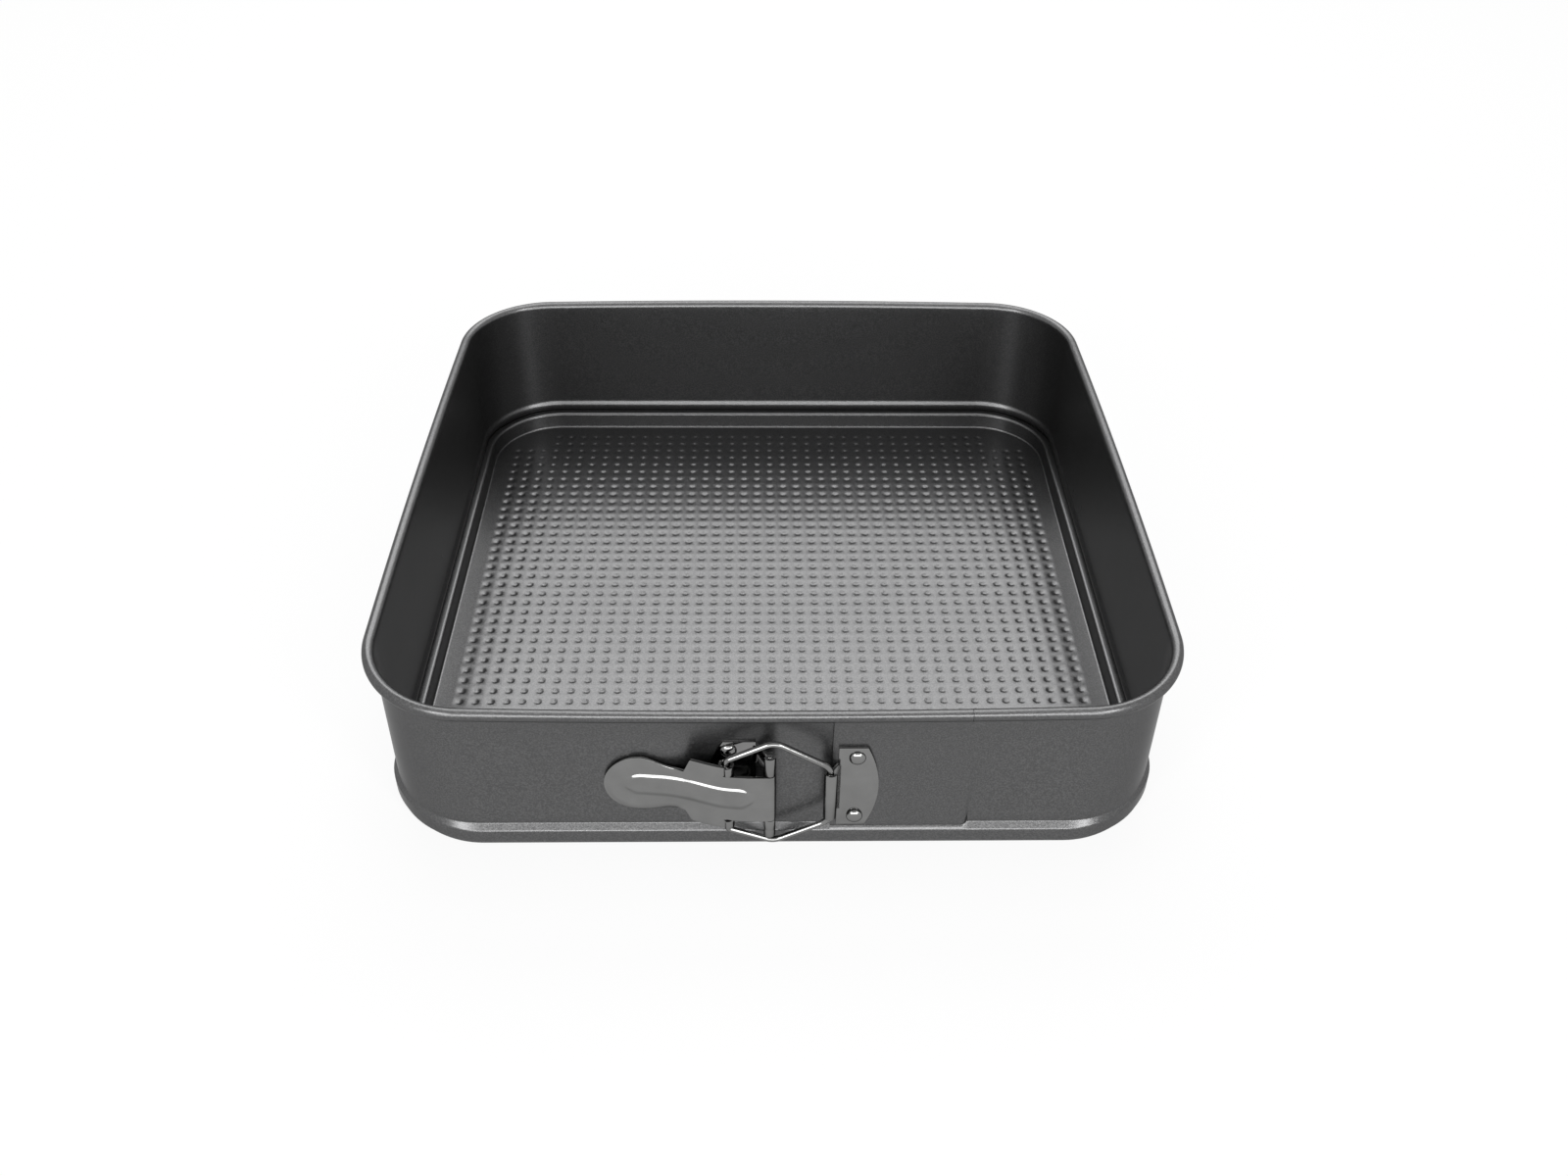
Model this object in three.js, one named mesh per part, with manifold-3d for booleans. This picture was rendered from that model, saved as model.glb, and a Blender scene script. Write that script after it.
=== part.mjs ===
// A square springform pan: a lapped sheet-steel band, a loose tray base held in the band's
// groove, and an over-centre clasp of lever, wire bail, hinge plate and keeper plate.
// Millimetres, +Z up. The origin is the middle of the base's underside; the clasp is on the -Y side.
import * as THREE from "three";
import { mergeVertices } from "three/addons/utils/BufferGeometryUtils.js";
import Module from "manifold-3d";

const wasm = await Module();
wasm.setup();

// Driving dimensions of the pan
const insideWidth = 241.2; // between the flat walls
const bandHeight = 58.5;
const bandSheet = 0.6;
const insideCornerRadius = 30.5;
const rimCurlRadius = 1.6; // of the sheet's middle, in the rolled rim
const grooveDepth = 1.8; // how far the foot bead stands out of the wall
const grooveHeight = 11.6; // where the bead's sloping shoulder leaves the wall
const lapGrooveHeight = 8.6; // the same on the outer leaf of the lap
const beadFaceHeight = 5.4; // where the shoulder meets the bead's upright face
const footTurnRadius = 0.9; // of the sheet's middle, under the bead
const footHemHeight = 4.2; // the turned-up edge that carries the base
const leftBow = 0.85; // how far the middle of a wall is sprung outward at the rim
const rightBow = 0.92;
const backBow = 1.65;

// Driving dimensions of the lap, as places along the front wall
const lapOuterEnd = 17; // free edge of the outer leaf
const lapInnerEnd = 56.4; // free edge of the inner leaf
const lapGap = 0.5; // between the two leaves
const lapButt = 0.3; // gap in the rim at the inner leaf's free edge
const leafRoot = 2; // length over which each leaf grows out of the strip
const joggleLength = 3; // over which the outer leaf steps out

// Driving dimensions of the base
const baseSheet = 0.6;
const baseMargin = 3.7; // from the wall in to the edge of the flat floor
const baseStepRun = 1;
const baseEdgeClearance = 0.5; // between the base's edge and the bottom of the groove
const baseHemClearance = 0.6; // between the base's edge and the foot hem under it
const baseHemDepth = 2.4; // of the flange with its edge rolled under
const baseHemTurn = 1.6; // rounding of the flange's upper edge

// Driving dimensions of the clasp
const claspHeight = 25.3; // of the clasp's middle above the table
const claspSheet = 0.8;
const leverSheet = 0.9;
const fitGap = 0.1; // between riveted sheets, and round a pin or wire
const pinRadius = 0.9;
const pinProud = 0.2; // beyond the outer knuckles, with its edge broken by the same amount
const wireRadius = 0.95;
const pivotX = -1.6; // the lever's pin
const pivotStandoff = 5.4; // from the wall's face to the pin's middle
const hookX = -14.4; // the bail's free ends
const hookBore = 1.35;
const hookLength = 3.3; // of each curled ear
const knuckleGap = 0.3; // between knuckles along a pin
const knuckleLength = 7; // each knuckle of the hinge plate
const keeperX = 17.1; // the bail's far leg
const keeperKnuckleLength = 18.8;
const keeperKnuckleX = 19.4; // where the keeper's flat begins
const keeperWidth = 8;
const keeperBulge = 3.7;
const keeperHeight = 32.6;
const keeperRivetInset = 5;
const keeperRivetSpan = 25;
const hingePlateEnd = -5.8;
const hingePlateWidth = 9.6;
const hingePlateBulge = 4.6;
const hingePlateRise = 17.9; // from the clasp's middle to the plate's top
const hingeRivetInset = 8;
const hingeRivetDrop = 3.3; // from the plate's top or foot to a rivet
const rivetShank = 1.4;
const rivetHeadRadius = 2.5;
const rivetHeadHeight = 1.3;
const rivetTailRadius = 2.2;
const rivetTailHeight = 0.4;

// Driving dimensions of the lever, from its pin to its thumb paddle
const tongueHalf = 9.3;
const earStart = -25;
const earRamp = 2;
const neckX = -30;
const neckHalf = 7.4;
const paddleRadius = 10.5;
const paddleX = -40;
const paddleLift = 1.3; // the arm is cranked up by this much
const crankStart = -12;
const crankEnd = -26;
const joggleStart = -14; // the arm steps back towards the wall
const joggleEnd = -34;
const paddleStandoff = 0.8; // from the wall to the back of the paddle
const ridgeStart = -6.8;
const ridgeEnd = -45.8;
const ridgeHalf = 4.6;
const ridgeFlatHalf = 2.6;
const ridgeHeight = 1.5;

// Driving dimensions of the bail, as offsets from the clasp's middle
const bailApex = 21.3;
const bailApexX = 0.5;
const bailApexRadius = 3;
const bailElbowRadius = 3;
const bailTipGap = 0.35; // the free ends stop this far short of the curled ears
const bailTipLength = 1.4; // upright end of the wire

// Places that follow from the driving dimensions
const wallMiddle = insideWidth / 2 + bandSheet / 2;
const cornerCentre = insideWidth / 2 - insideCornerRadius;
const wallFace = -(wallMiddle + bandSheet / 2);
const lapOffset = bandSheet + lapGap;
const lapFace = wallFace - lapOffset;
const hingePlateBack = wallFace - fitGap;
const hingePlateLow = grooveHeight; // it stands on the bead's shoulder
const hingePlateHigh = claspHeight + hingePlateRise;
const keeperPlateBack = lapFace - fitGap;
const hookRadius = hookBore + leverSheet / 2;
const hingeKnuckleRadius = pinRadius + fitGap + claspSheet / 2;
const leverKnuckleRadius = pinRadius + fitGap + leverSheet / 2;
const keeperKnuckleRadius = wireRadius + 2.5 * fitGap + claspSheet / 2;
const pivotY = wallFace - pivotStandoff;
const tongueY = pivotY - leverKnuckleRadius;
const paddleY = wallFace - paddleStandoff - leverSheet / 2;
const hookY = tongueY + hookRadius;
const leverKnuckleLength = 2 * tongueHalf;
const earHalf = tongueHalf + knuckleGap + hookLength;

const cornerSteps = 9;
const wallSteps = 8;
const shoulderSteps = 6;
const arcSteps = 10;
const roundSides = 24;

// Finishes
const coatedSteel = { color: 0x4a4a4b, roughness: 0.42, metalness: 0.55 };
const platedSteel = { color: 0xb9b9ba, roughness: 0.18, metalness: 1 };

const pan = new THREE.Group();

function addPiece(name, geometry, finish) {
  const piece = new THREE.Mesh(geometry, new THREE.MeshStandardMaterial(finish));
  piece.name = name;
  pan.add(piece);
  return piece;
}

// A closed mesh from vertices and triangles, turned so that its faces point out.
function closedMesh(vertices, triangles) {
  let volume = 0;
  const corner = (index) => new THREE.Vector3(...vertices[index]);
  for (const [a, b, c] of triangles) {
    volume += corner(a).dot(corner(b).cross(corner(c)));
  }
  const outward = volume > 0 ? triangles : triangles.map(([a, b, c]) => [a, c, b]);
  const geometry = new THREE.BufferGeometry();
  geometry.setAttribute("position", new THREE.Float32BufferAttribute(vertices.flat(), 3));
  geometry.setIndex(outward.flat());
  return geometry;
}

// Quads between neighbouring rings of equal length; each ring closes on itself.
function ringWalls(ringCount, ringLength) {
  const triangles = [];
  for (let ring = 0; ring + 1 < ringCount; ring += 1) {
    for (let side = 0; side < ringLength; side += 1) {
      const a = ring * ringLength + side;
      const b = ring * ringLength + ((side + 1) % ringLength);
      triangles.push([a, b, b + ringLength], [a, b + ringLength, a + ringLength]);
    }
  }
  return triangles;
}

// Triangles that fill an outline, each running the same way round as the outline does.
function capFaces(outline) {
  const points = outline.map(([x, y]) => new THREE.Vector2(x, y));
  const turn = Math.sign(THREE.ShapeUtils.area(points));
  return THREE.ShapeUtils.triangulateShape(points, []).map(([a, b, c]) => {
    const same = Math.sign(THREE.ShapeUtils.area([points[a], points[b], points[c]])) === turn;
    return same ? [a, b, c] : [a, c, b];
  });
}

function solidOf(geometry) {
  const bare = geometry.clone();
  bare.deleteAttribute("normal");
  bare.deleteAttribute("uv");
  const merged = mergeVertices(bare, 1e-4);
  return new wasm.Manifold(
    new wasm.Mesh({
      numProp: 3,
      vertProperties: merged.attributes.position.array,
      triVerts: new Uint32Array(merged.index.array),
    }),
  );
}

function geometryOf(solid) {
  const mesh = solid.getMesh();
  const geometry = new THREE.BufferGeometry();
  geometry.setAttribute("position", new THREE.BufferAttribute(mesh.vertProperties.slice(), 3));
  geometry.setIndex(new THREE.BufferAttribute(mesh.triVerts.slice(), 1));
  return geometry;
}

function joined(first, ...others) {
  return others.reduce((solid, other) => solid.add(solidOf(other)), solidOf(first));
}

// Points on an arc of a circle, angles in degrees.
function arcPoints(centreX, centreY, radius, from, to, steps = arcSteps) {
  return Array.from({ length: steps + 1 }, (_, step) => {
    const angle = THREE.MathUtils.degToRad(from + ((to - from) * step) / steps);
    return [centreX + radius * Math.cos(angle), centreY + radius * Math.sin(angle)];
  });
}

// The outline of a bent sheet, from the line through its middle.
function sheetOutline(middle, thickness) {
  const points = middle.map(([x, y]) => new THREE.Vector2(x, y));
  const side = (sign) =>
    points.map((point, index) => {
      const before = points[Math.max(index - 1, 0)];
      const after = points[Math.min(index + 1, points.length - 1)];
      const first = point.clone().sub(before).normalize();
      const second = after.clone().sub(point).normalize();
      const along = first.add(second).normalize();
      const bend = index > 0 ? point.clone().sub(before).normalize() : along;
      const spread = (sign * thickness) / 2 / Math.max(along.dot(bend), 0.5);
      return [point.x - along.y * spread, point.y + along.x * spread];
    });
  return [...side(1), ...side(-1).reverse()];
}

// A bent strip that stands upright: its plan outline, between two heights.
function uprightStrip(middle, thickness, low, high) {
  const outline = sheetOutline(middle, thickness).map(([x, y]) => new THREE.Vector2(x, y));
  const geometry = new THREE.ExtrudeGeometry(new THREE.Shape(outline), {
    depth: high - low,
    bevelEnabled: false,
  });
  return geometry.translate(0, 0, low);
}

// A flat plate against the front wall: its outline seen from the front, standing out from a face.
function frontPlate(shape, backFace, thickness) {
  const geometry = new THREE.ExtrudeGeometry(shape, { depth: thickness, bevelEnabled: false, curveSegments: 12 });
  return geometry.rotateX(Math.PI / 2).translate(0, backFace, 0);
}

function rivetHole(x, z) {
  const reach = 4 * rivetHeadRadius;
  const drill = new THREE.CylinderGeometry(rivetShank + fitGap, rivetShank + fitGap, reach, roundSides);
  return drill.translate(x, wallFace, z);
}

// Side band: one strip bent into a square, with its ends lapped at the front. Its section runs from
// the turned-up foot hem, round the foot bead and up the wall to the rolled rim.
function footLine(shoulder, wallShift) {
  const half = bandSheet / 2;
  const soft = bandSheet; // bend radius of the hem
  const slope = Array.from({ length: shoulderSteps + 1 }, (_, step) => {
    const share = step / shoulderSteps;
    const inward = THREE.MathUtils.smoothstep(share, 0, 1);
    return [
      THREE.MathUtils.lerp(grooveDepth, wallShift, inward),
      THREE.MathUtils.lerp(beadFaceHeight, shoulder, share),
    ];
  });
  return [
    [-half, footHemHeight],
    ...arcPoints(soft - half, half + soft, soft, 180, 270, 3),
    ...arcPoints(grooveDepth - footTurnRadius, half + footTurnRadius, footTurnRadius, 270, 360, 4),
    ...slope,
  ];
}

function rimLine() {
  const height = bandHeight - rimCurlRadius - bandSheet / 2;
  return arcPoints(rimCurlRadius, height, rimCurlRadius, 180, -135, 11);
}

// A length of sheet: its section at each of a row of stations, closed at both ends. A bowed station
// leans outward from the shoulder up to the rim.
function sweptSheet(stations) {
  const count = stations[0].section.length;
  const vertices = stations.flatMap(({ x, y, outX, outY, section, bow = 0 }) =>
    section.map(([along, z]) => {
      const rise = THREE.MathUtils.clamp((z - grooveHeight) / (bandHeight - grooveHeight), 0, 1);
      const out = along + bow * rise;
      return [x + out * outX, y + out * outY, z];
    }),
  );
  const triangles = ringWalls(stations.length, count);
  const last = (stations.length - 1) * count;
  triangles.push(...capFaces(stations[0].section).map(([a, b, c]) => [a, c, b]));
  triangles.push(...capFaces(stations.at(-1).section).map((face) => face.map((index) => index + last)));
  return closedMesh(vertices, triangles);
}

function frontStation(x, section) {
  return { x, y: -wallMiddle, outX: 0, outY: -1, section };
}

// The whole strip from the outer leaf's free edge, round the pan, to where the lap begins.
function mainStrip() {
  const underRim = bandHeight - 2 * rimCurlRadius - bandSheet;
  const wholeSection = (shoulder, wallShift) =>
    sheetOutline(
      [...footLine(shoulder, wallShift), [wallShift, underRim - 2 * lapOffset], [0, underRim], ...rimLine()],
      bandSheet,
    );
  const plain = wholeSection(grooveHeight, 0);
  const stations = [frontStation(lapOuterEnd, plain)];
  const reach = wallMiddle - cornerCentre;
  const corners = [
    [-1, -1, 270, leftBow],
    [-1, 1, 180, backBow],
    [1, 1, 90, rightBow],
    [1, -1, 360, 0],
  ];
  for (const [signX, signY, from, nextBow] of corners) {
    const turn = arcPoints(0, 0, 1, from, from - 90, cornerSteps);
    for (const [outX, outY] of turn) {
      const [x, y] = [signX * cornerCentre + reach * outX, signY * cornerCentre + reach * outY];
      stations.push({ x, y, outX, outY, section: plain });
    }
    const [outX, outY] = turn.at(-1);
    for (let step = 1; nextBow > 0 && step < wallSteps; step += 1) {
      const share = (2 * step) / wallSteps - 1;
      const along = cornerCentre * share;
      const [x, y] = [outX * wallMiddle + outY * along, outY * wallMiddle - outX * along];
      stations.push({ x, y, outX, outY, section: plain, bow: nextBow * (1 - share ** 2) });
    }
  }
  const lapped = wholeSection(lapGrooveHeight, lapOffset);
  stations.push(frontStation(lapInnerEnd + lapButt + leafRoot + joggleLength, plain));
  stations.push(frontStation(lapInnerEnd + lapButt + leafRoot, lapped));
  stations.push(frontStation(lapInnerEnd + lapButt, lapped));
  return sweptSheet(stations);
}

function makeSideBand() {
  const leafSheet = bandSheet * 0.7; // thinner, so that each leaf roots inside the strip
  // Inner leaf: the left-hand end runs on without its foot, so that rim and wall slide behind the lap.
  const innerSection = sheetOutline([[0, grooveHeight + bandSheet], ...rimLine()], leafSheet);
  const innerLeaf = sweptSheet([
    frontStation(lapOuterEnd - leafRoot / 2, innerSection),
    frontStation(lapInnerEnd, innerSection),
  ]);
  // Outer leaf: the right-hand end runs on without its rim, with a lower foot bead.
  const leafHigh = bandHeight - 2 * rimCurlRadius - 2 * bandSheet;
  const outerSection = sheetOutline([...footLine(lapGrooveHeight, lapOffset), [lapOffset, leafHigh]], leafSheet);
  const outerLeaf = sweptSheet([
    frontStation(lapInnerEnd + lapButt + leafRoot / 2, outerSection),
    frontStation(lapOuterEnd, outerSection),
  ]);
  let band = joined(mainStrip(), innerLeaf, outerLeaf);
  for (const [x, z] of hingeRivetPlaces()) {
    band = band.subtract(solidOf(rivetHole(x, z)));
  }
  // The outer leaf alone is drilled for the keeper: the drill stops between the leaves.
  for (const [x, z] of keeperRivetPlaces()) {
    const drill = rivetHole(x, z).translate(0, -2 * rivetHeadRadius - lapGap / 2, 0);
    band = band.subtract(solidOf(drill));
  }
  return geometryOf(band);
}

// Base: a shallow tray whose flange lies in the band's groove. Rings follow the band's plan.
function baseRing(half, z) {
  const radius = Math.max(half - cornerCentre, 0.5);
  const centre = half - radius;
  const ring = [];
  for (const [signX, signY, from] of [[1, 1, 0], [-1, 1, 90], [-1, -1, 180], [1, -1, 270]]) {
    for (const [x, y] of arcPoints(signX * centre, signY * centre, radius, from, from + 90, cornerSteps)) {
      ring.push([x, y, z]);
    }
  }
  return ring;
}

function makeBasePlate() {
  const floorHalf = insideWidth / 2 - baseMargin;
  const flangeIn = floorHalf + baseStepRun;
  const edge = wallMiddle + grooveDepth - bandSheet / 2 - baseEdgeClearance;
  const flangeLow = footHemHeight + baseHemClearance;
  const flangeHigh = flangeLow + baseHemDepth;
  const slant = baseSheet * 0.9; // the steep step keeps the sheet's thickness sideways
  const profile = [
    [floorHalf, baseSheet],
    [flangeIn, flangeHigh],
    ...arcPoints(edge - baseHemTurn, flangeHigh - baseHemTurn, baseHemTurn, 90, 0, 3),
    [edge, flangeLow],
    [flangeIn + slant, flangeLow],
    [floorHalf + slant, 0],
  ];
  const rings = profile.map(([half, z]) => baseRing(half, z));
  const ringLength = rings[0].length;
  const vertices = rings.flat();
  const triangles = ringWalls(rings.length, ringLength);
  for (const [first, z, flip] of [[0, baseSheet, true], [(rings.length - 1) * ringLength, 0, false]]) {
    const centre = vertices.push([0, 0, z]) - 1;
    for (let side = 0; side < ringLength; side += 1) {
      const [a, b] = [first + side, first + ((side + 1) % ringLength)];
      triangles.push(flip ? [centre, b, a] : [centre, a, b]);
    }
  }
  return closedMesh(vertices, triangles);
}

// Hinge plate: riveted to the left-hand end of the band, with two knuckles rolled round the pin.
function hingeRivetPlaces() {
  const x = hingePlateEnd - hingeRivetInset;
  return [[x, hingePlateHigh - hingeRivetDrop], [x, hingePlateLow + hingeRivetDrop]];
}

function makeHingePlate() {
  const left = hingePlateEnd - hingePlateWidth;
  const flat = new THREE.Shape();
  flat.moveTo(hingePlateEnd, hingePlateLow);
  flat.lineTo(hingePlateEnd, hingePlateHigh);
  flat.lineTo(left, hingePlateHigh);
  flat.quadraticCurveTo(left - 2 * hingePlateBulge, (hingePlateLow + hingePlateHigh) / 2, left, hingePlateLow);
  const middleY = hingePlateBack - claspSheet / 2;
  const roll = arcPoints(pivotX, pivotY, hingeKnuckleRadius, 125, -165);
  const leafAndRoll = [
    [hingePlateEnd - claspSheet, middleY],
    [hingePlateEnd + claspSheet / 4, middleY],
    [hingePlateEnd + claspSheet, middleY - claspSheet / 2],
    ...roll,
  ];
  const reach = tongueHalf + knuckleGap;
  const upperLow = claspHeight + reach;
  const lowerHigh = claspHeight - reach;
  const upper = uprightStrip(leafAndRoll, claspSheet, upperLow, upperLow + knuckleLength);
  // The lower roll hangs past its leaf, in front of the foot bead.
  const lowerLeaf = uprightStrip(leafAndRoll, claspSheet, hingePlateLow, lowerHigh);
  const lowerRoll = uprightStrip(roll, claspSheet * 0.99, lowerHigh - knuckleLength, lowerHigh - fitGap);
  let plate = joined(frontPlate(flat, hingePlateBack, claspSheet), upper, lowerLeaf, lowerRoll);
  for (const [x, z] of hingeRivetPlaces()) {
    plate = plate.subtract(solidOf(rivetHole(x, z)));
  }
  return geometryOf(plate);
}

// Hinge pin: a plain wire pin that runs through all three knuckles.
function makeHingePin() {
  const end = tongueHalf + knuckleGap + knuckleLength + pinProud;
  const profile = [
    [0, -end],
    [pinRadius - pinProud, -end],
    [pinRadius, pinProud - end],
    [pinRadius, end - pinProud],
    [pinRadius - pinProud, end],
    [0, end],
  ].map(([radius, along]) => new THREE.Vector2(radius, along));
  return new THREE.LatheGeometry(profile, roundSides).rotateX(Math.PI / 2).translate(pivotX, pivotY, claspHeight);
}

// Clasp lever: one stamping with a thumb paddle, a raised rib, two curled ears that hold the
// bail, and a tongue rolled round the hinge pin.
function leverHalf(x) {
  const paddle = Math.sqrt(Math.max(paddleRadius ** 2 - (x - paddleX) ** 2, 0.09));
  if (x <= paddleX) return paddle;
  if (x <= neckX) {
    const share = THREE.MathUtils.smoothstep(x, paddleX, neckX);
    return THREE.MathUtils.lerp(paddleRadius, neckHalf, share);
  }
  if (x <= earStart - earRamp) return neckHalf;
  if (x <= earStart) return THREE.MathUtils.lerp(neckHalf, earHalf, (x - earStart + earRamp) / earRamp);
  return x <= hookX ? earHalf : tongueHalf;
}

function leverMiddle(x) {
  const back = THREE.MathUtils.smoothstep(-x, -joggleStart, -joggleEnd);
  const up = THREE.MathUtils.smoothstep(-x, -crankStart, -crankEnd);
  return { y: THREE.MathUtils.lerp(tongueY, paddleY, back), z: claspHeight + paddleLift * up };
}

function ridgeShare(x) {
  const rampLength = ridgeHalf - ridgeFlatHalf;
  const fromEnds = Math.min(ridgeStart - x, x - ridgeEnd);
  return THREE.MathUtils.clamp(fromEnds / rampLength, 0, 1);
}

function leverStations() {
  const tip = paddleX - paddleRadius;
  const stations = arcPoints(paddleX, 0, paddleRadius, 180, 90, 8).map(([x]) => x);
  const evenly = (from, to, steps) => {
    for (let step = 1; step <= steps; step += 1) stations.push(from + ((to - from) * step) / steps);
  };
  evenly(paddleX, neckX, 6);
  evenly(neckX, earStart - earRamp, 2);
  evenly(earStart - earRamp, earStart, 1);
  evenly(earStart, hookX, 6);
  stations.push(hookX + leverSheet / 4);
  evenly(hookX + leverSheet / 4, pivotX, 8);
  for (const end of [ridgeStart, ridgeEnd]) {
    const inward = end === ridgeStart ? -1 : 1;
    stations.push(end, end + inward * (ridgeHalf - ridgeFlatHalf));
  }
  return stations.filter((x) => x > tip).concat(tip + 0.02).sort((a, b) => a - b);
}

function makeClaspLever() {
  const columns = 7;
  const faces = { outer: [], inner: [] };
  for (const x of leverStations()) {
    const half = leverHalf(x);
    const { y, z } = leverMiddle(x);
    const share = ridgeShare(x);
    const inside = Math.min(1, (0.9 * half) / ridgeHalf);
    const offsets = [half, ridgeHalf * inside, ridgeFlatHalf * inside, 0];
    const across = [...offsets.map((value) => -value), ...offsets.slice(0, 3).reverse()];
    across.forEach((offset, column) => {
      const raised = column >= 2 && column <= 4 ? ridgeHeight * share : 0;
      faces.outer.push([x, y - leverSheet / 2 - raised, z + offset]);
      faces.inner.push([x, y + leverSheet / 2 - raised, z + offset]);
    });
  }
  const rows = faces.outer.length / columns;
  const vertices = [];
  for (let row = 0; row < rows; row += 1) {
    const from = row * columns;
    vertices.push(...faces.outer.slice(from, from + columns));
    vertices.push(...faces.inner.slice(from, from + columns).reverse());
  }
  const ringLength = 2 * columns;
  const triangles = ringWalls(rows, ringLength);
  for (const [first, flip] of [[0, true], [(rows - 1) * ringLength, false]]) {
    for (let side = 0; side + 1 < columns; side += 1) {
      const [a, b] = [first + side, first + side + 1];
      const [c, d] = [first + ringLength - 2 - side, first + ringLength - 1 - side];
      const quad = [[a, b, c], [a, c, d]];
      triangles.push(...(flip ? quad.map(([p, q, r]) => [p, r, q]) : quad));
    }
  }
  const arm = closedMesh(vertices, triangles);
  const knuckle = uprightStrip(
    [[pivotX - 2 * leverSheet, tongueY], ...arcPoints(pivotX, pivotY, leverKnuckleRadius, -90, 165)],
    leverSheet * 0.98,
    claspHeight - tongueHalf,
    claspHeight + tongueHalf,
  );
  const curls = [1, -1].map((side) => {
    const near = claspHeight + side * (tongueHalf + knuckleGap);
    const far = claspHeight + side * earHalf;
    return uprightStrip(
      [[hookX - leverSheet, tongueY], ...arcPoints(hookX, hookY, hookRadius, -90, 200)],
      leverSheet * 0.98,
      Math.min(near, far),
      Math.max(near, far),
    );
  });
  return geometryOf(joined(arm, knuckle, ...curls));
}

// Keeper plate: riveted to the outer leaf of the lap, its middle rolled round the bail's far leg.
function keeperRivetPlaces() {
  const x = keeperKnuckleX + keeperRivetInset;
  return [1, -1].map((side) => [x, claspHeight + (side * keeperRivetSpan) / 2]);
}

function makeKeeperPlate() {
  const half = keeperHeight / 2;
  const right = keeperKnuckleX + keeperWidth;
  const flat = new THREE.Shape();
  flat.moveTo(keeperKnuckleX, claspHeight + half);
  flat.lineTo(keeperKnuckleX, claspHeight - half);
  flat.lineTo(right, claspHeight - half);
  flat.quadraticCurveTo(right + 2 * keeperBulge, claspHeight, right, claspHeight + half);
  const middleY = keeperPlateBack - claspSheet / 2;
  const roll = [
    [keeperKnuckleX + claspSheet, middleY],
    [keeperKnuckleX - claspSheet / 4, middleY],
    ...arcPoints(keeperX, hookY, keeperKnuckleRadius, 62, 340),
  ];
  const knuckle = uprightStrip(
    roll,
    claspSheet,
    claspHeight - keeperKnuckleLength / 2,
    claspHeight + keeperKnuckleLength / 2,
  );
  let plate = joined(frontPlate(flat, keeperPlateBack, claspSheet), knuckle);
  for (const [x, z] of keeperRivetPlaces()) {
    plate = plate.subtract(solidOf(rivetHole(x, z)));
  }
  return geometryOf(plate);
}

// Wire bail: one bent wire. Its far leg turns in the keeper and its two ends hook into the lever's ears.
function makeWireBail() {
  const tipLow = earHalf + bailTipGap;
  const elbow = keeperKnuckleLength / 2 + 2 * wireRadius;
  const corners = [
    [hookX, tipLow, 0],
    [hookX, tipLow + bailTipLength, wireRadius],
    [bailApexX, bailApex, bailApexRadius],
    [keeperX, elbow, bailElbowRadius],
    [keeperX, -elbow, bailElbowRadius],
    [bailApexX, -bailApex, bailApexRadius],
    [hookX, -tipLow - bailTipLength, wireRadius],
    [hookX, -tipLow, 0],
  ];
  const points = corners.map(([x, z]) => new THREE.Vector3(x, hookY, claspHeight + z));
  const route = new THREE.CurvePath();
  let from = points[0];
  for (let index = 1; index + 1 < points.length; index += 1) {
    const trim = corners[index][2];
    const into = points[index].clone().sub(points[index - 1]).setLength(trim);
    const outOf = points[index + 1].clone().sub(points[index]).setLength(trim);
    const bendStart = points[index].clone().sub(into);
    const bendEnd = points[index].clone().add(outOf);
    route.add(new THREE.LineCurve3(from, bendStart));
    route.add(new THREE.QuadraticBezierCurve3(bendStart, points[index], bendEnd));
    from = bendEnd;
  }
  route.add(new THREE.LineCurve3(from, points.at(-1)));
  const section = new THREE.Shape(
    arcPoints(0, 0, wireRadius, 0, 330, 11).map(([x, y]) => new THREE.Vector2(x, y)),
  );
  return new THREE.ExtrudeGeometry(section, { steps: 72, extrudePath: route, bevelEnabled: false });
}

// Rivet: a domed head on the plate, a shank through plate and band, and a thin upset tail behind.
function makeRivet(x, z, bandBack, plateFront) {
  const tail = bandBack + fitGap;
  const head = plateFront - fitGap;
  const dome = arcPoints(0, 0, 1, 0, 90, 6).map(([out, up]) => [rivetHeadRadius * out, rivetHeadHeight * up]);
  const profile = [
    [0, -tail - rivetTailHeight],
    [rivetTailRadius, -tail - rivetTailHeight],
    [rivetTailRadius, -tail],
    [rivetShank, -tail],
    [rivetShank, -head],
    ...dome.map(([out, up]) => [out, -head + up]),
  ].map(([radius, along]) => new THREE.Vector2(Math.max(radius, 0), along));
  return new THREE.LatheGeometry(profile, roundSides).rotateX(Math.PI).translate(x, 0, z);
}

addPiece("side_band", makeSideBand(), coatedSteel);
addPiece("base_plate", makeBasePlate(), coatedSteel);
addPiece("hinge_plate", makeHingePlate(), platedSteel);
addPiece("hinge_pin", makeHingePin(), platedSteel);
addPiece("clasp_lever", makeClaspLever(), platedSteel);
addPiece("wire_bail", makeWireBail(), platedSteel);
addPiece("keeper_plate", makeKeeperPlate(), platedSteel);

const rivetGroups = [
  ["hinge_rivet", hingeRivetPlaces(), wallFace + bandSheet, hingePlateBack - claspSheet],
  ["keeper_rivet", keeperRivetPlaces(), lapFace + bandSheet, keeperPlateBack - claspSheet],
];
for (const [name, places, bandBack, plateFront] of rivetGroups) {
  places.forEach(([x, z], index) => {
    const place = index === 0 ? "upper" : "lower";
    addPiece(`${name}_${place}`, makeRivet(x, z, bandBack, plateFront), platedSteel);
  });
}

export default pan;
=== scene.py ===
import math

import bmesh
import bpy
from mathutils import Matrix, Vector


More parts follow.
